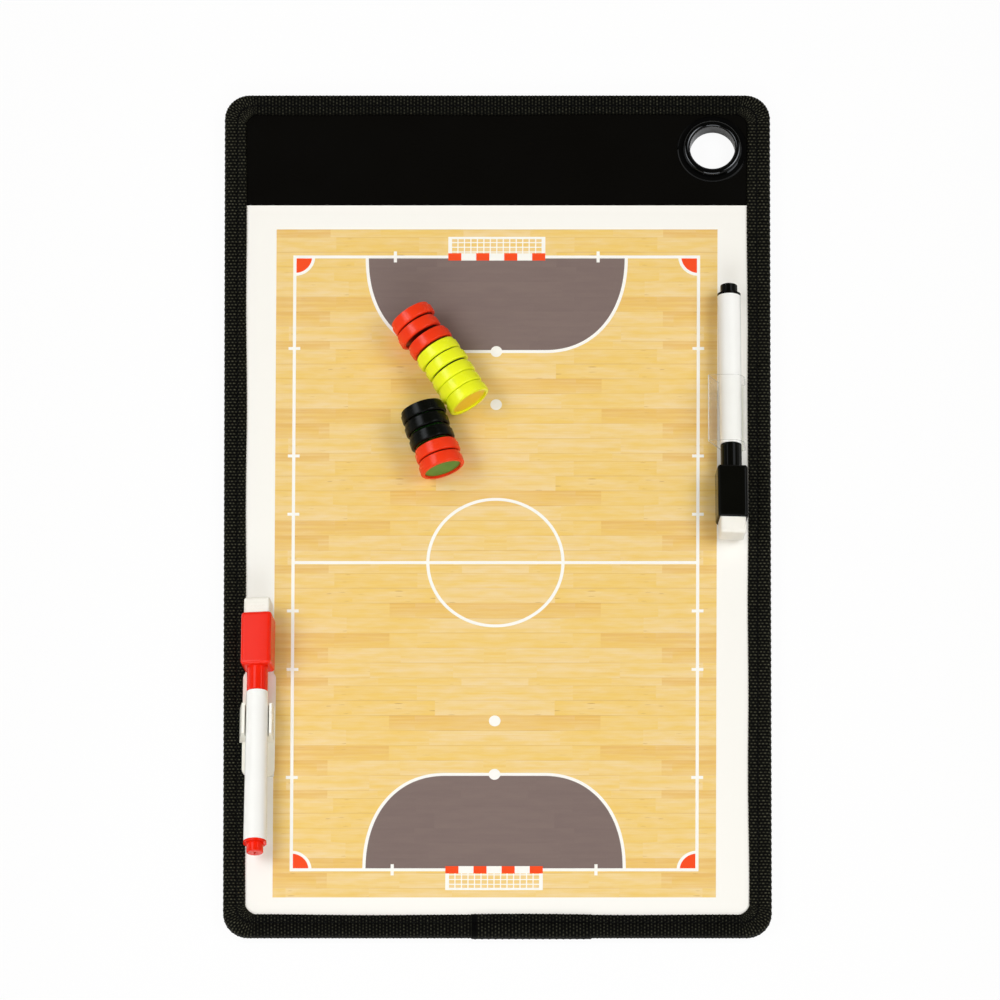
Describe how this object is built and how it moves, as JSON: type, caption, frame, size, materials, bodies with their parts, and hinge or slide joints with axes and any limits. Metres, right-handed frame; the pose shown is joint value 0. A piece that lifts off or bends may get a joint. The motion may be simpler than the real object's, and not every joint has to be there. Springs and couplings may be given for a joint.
{
  "type": "tactics board",
  "caption": "Flat magnetic dry-wipe board printed with a court and bound in webbing, with a hanging eyelet, clip-held markers and magnetic player pucks.",
  "frame": {"origin": "middle of the board's back, on the surface that it lies on", "axes": "+X to the right of the print, +Y up the board to the header, +Z out of the face"},
  "size_m": [0.25, 0.4104, 0.0266],
  "materials": {
    "printed_face": "court print under a gloss dry-wipe film",
    "steel": "plain sheet",
    "hardboard": "raw",
    "back_vinyl": "fine grained",
    "webbing": "woven",
    "eyelet_plastic": "satin",
    "clip_white": "moulded",
    "foam_tape": "foam",
    "clear_vinyl": "clear",
    "adhesive": "clear",
    "barrel_white": "moulded",
    "pen_red": "moulded",
    "pen_black": "moulded",
    "ink_red": "fibre soaked with ink",
    "ink_black": "fibre soaked with ink",
    "ferrite": "pressed",
    "felt": "pressed felt",
    "puck_red": "moulded",
    "puck_yellow": "moulded, fluorescent",
    "puck_black": "moulded"
  },
  "bodies": {
    "board": {"printed_face": "printed_face", "steel_sheet": "steel", "core_board": "hardboard", "back_sheet": "back_vinyl", "edge_binding": "webbing", "eyelet": "eyelet_plastic", "eyelet_washer": "eyelet_plastic", "pen_clip": "clip_white", "clip_foam_tape": "foam_tape", "pen_loop": "clear_vinyl", "loop_tape": "adhesive"},
    "red_pen": {"red_pen_barrel": "barrel_white", "red_pen_end_plug": "pen_red", "red_pen_ink_reservoir": "ink_red", "red_pen_nib_holder": "barrel_white", "red_pen_nib": "ink_red"},
    "red_cap": {"red_cap_shell": "pen_red", "red_cap_magnet": "ferrite", "red_cap_eraser": "felt"},
    "black_pen": {"black_pen_barrel": "barrel_white", "black_pen_end_plug": "pen_black", "black_pen_ink_reservoir": "ink_black", "black_pen_nib_holder": "barrel_white", "black_pen_nib": "ink_black"},
    "black_cap": {"black_cap_shell": "pen_black", "black_cap_magnet": "ferrite", "black_cap_eraser": "felt"},
    "red_puck_1": {"red_puck_1_shell": "puck_red", "red_puck_1_magnet": "ferrite"},
    "red_puck_2": {"red_puck_2_shell": "puck_red", "red_puck_2_magnet": "ferrite"},
    "red_puck_3": {"red_puck_3_shell": "puck_red", "red_puck_3_magnet": "ferrite"},
    "red_puck_4": {"red_puck_4_shell": "puck_red", "red_puck_4_magnet": "ferrite"},
    "red_puck_5": {"red_puck_5_shell": "puck_red", "red_puck_5_magnet": "ferrite"},
    "yellow_puck_1": {"yellow_puck_1_shell": "puck_yellow", "yellow_puck_1_magnet": "ferrite"},
    "yellow_puck_2": {"yellow_puck_2_shell": "puck_yellow", "yellow_puck_2_magnet": "ferrite"},
    "yellow_puck_3": {"yellow_puck_3_shell": "puck_yellow", "yellow_puck_3_magnet": "ferrite"},
    "yellow_puck_4": {"yellow_puck_4_shell": "puck_yellow", "yellow_puck_4_magnet": "ferrite"},
    "yellow_puck_5": {"yellow_puck_5_shell": "puck_yellow", "yellow_puck_5_magnet": "ferrite"},
    "black_puck_1": {"black_puck_1_shell": "puck_black", "black_puck_1_magnet": "ferrite"},
    "black_puck_2": {"black_puck_2_shell": "puck_black", "black_puck_2_magnet": "ferrite"},
    "black_puck_3": {"black_puck_3_shell": "puck_black", "black_puck_3_magnet": "ferrite"}
  },
  "joints": [
    {"name": "red_pen_slide", "type": "slide", "parent": "board", "child": "red_pen", "axis": [0.0131, 0.9999, 0], "range_m": [0, 0.085]},
    {"name": "red_cap_pull", "type": "slide", "parent": "red_pen", "child": "red_cap", "axis": [0.0131, 0.9999, 0], "range_m": [0, 0.04]},
    {"name": "black_pen_slide", "type": "slide", "parent": "board", "child": "black_pen", "axis": [0.0113, -0.9999, 0], "range_m": [0, 0.085]},
    {"name": "black_cap_pull", "type": "slide", "parent": "black_pen", "child": "black_cap", "axis": [0.0113, -0.9999, 0], "range_m": [0, 0.04]},
    {"name": "red_puck_1_lift", "type": "slide", "parent": "board", "child": "red_puck_1", "axis": [0, 0, 1], "range_m": [0, 0.06]},
    {"name": "red_puck_2_lift", "type": "slide", "parent": "board", "child": "red_puck_2", "axis": [0, 0, 1], "range_m": [0, 0.06]},
    {"name": "red_puck_3_lift", "type": "slide", "parent": "board", "child": "red_puck_3", "axis": [0, 0, 1], "range_m": [0, 0.06]},
    {"name": "red_puck_4_lift", "type": "slide", "parent": "board", "child": "red_puck_4", "axis": [0, 0, 1], "range_m": [0, 0.06]},
    {"name": "red_puck_5_lift", "type": "slide", "parent": "board", "child": "red_puck_5", "axis": [0, 0, 1], "range_m": [0, 0.06]},
    {"name": "yellow_puck_1_lift", "type": "slide", "parent": "board", "child": "yellow_puck_1", "axis": [0, 0, 1], "range_m": [0, 0.06]},
    {"name": "yellow_puck_2_lift", "type": "slide", "parent": "board", "child": "yellow_puck_2", "axis": [0, 0, 1], "range_m": [0, 0.06]},
    {"name": "yellow_puck_3_lift", "type": "slide", "parent": "board", "child": "yellow_puck_3", "axis": [0, 0, 1], "range_m": [0, 0.06]},
    {"name": "yellow_puck_4_lift", "type": "slide", "parent": "board", "child": "yellow_puck_4", "axis": [0, 0, 1], "range_m": [0, 0.06]},
    {"name": "yellow_puck_5_lift", "type": "slide", "parent": "board", "child": "yellow_puck_5", "axis": [0, 0, 1], "range_m": [0, 0.06]},
    {"name": "black_puck_1_lift", "type": "slide", "parent": "board", "child": "black_puck_1", "axis": [0, 0, 1], "range_m": [0, 0.06]},
    {"name": "black_puck_2_lift", "type": "slide", "parent": "board", "child": "black_puck_2", "axis": [0, 0, 1], "range_m": [0, 0.06]},
    {"name": "black_puck_3_lift", "type": "slide", "parent": "board", "child": "black_puck_3", "axis": [0, 0, 1], "range_m": [0, 0.06]}
  ]
}
